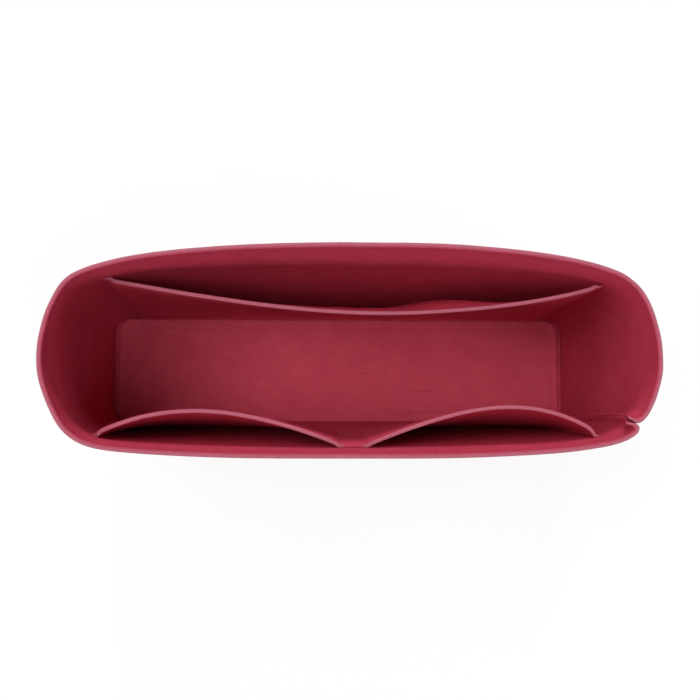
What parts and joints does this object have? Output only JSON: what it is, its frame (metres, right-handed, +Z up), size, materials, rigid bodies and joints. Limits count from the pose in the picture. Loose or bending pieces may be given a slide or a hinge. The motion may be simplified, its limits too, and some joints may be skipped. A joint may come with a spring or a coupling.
{
  "type": "purse organizer insert",
  "caption": "Open-topped felt insert that stands inside a handbag: flaring oval rim, rectangular base, corner seam, a wide back pocket and a front pocket strip split by a middle seam.",
  "frame": {"origin": "on the surface the insert stands on, under the middle of its box", "axes": "+X along the insert's length, towards the end with the corner seam; +Y across it, from the front wall with the divided pocket strip to the back wall with the wide pocket; +Z up"},
  "size_m": [0.2523, 0.0875, 0.15],
  "materials": {
    "felt": "matte",
    "thread": "matte"
  },
  "bodies": {
    "root": {"wall_band": "felt", "floor_panel": "felt", "back_pocket_panel": "felt", "front_pocket_strip": "felt", "base_seam_needle_thread": "thread", "base_seam_bobbin_thread": "thread", "corner_seam_needle_thread": "thread", "corner_seam_bobbin_thread": "thread", "back_pocket_needle_thread": "thread", "back_pocket_bobbin_thread": "thread", "front_pocket_needle_thread": "thread", "front_pocket_bobbin_thread": "thread", "middle_seam_needle_thread": "thread", "middle_seam_bobbin_thread": "thread"}
  },
  "joints": []
}
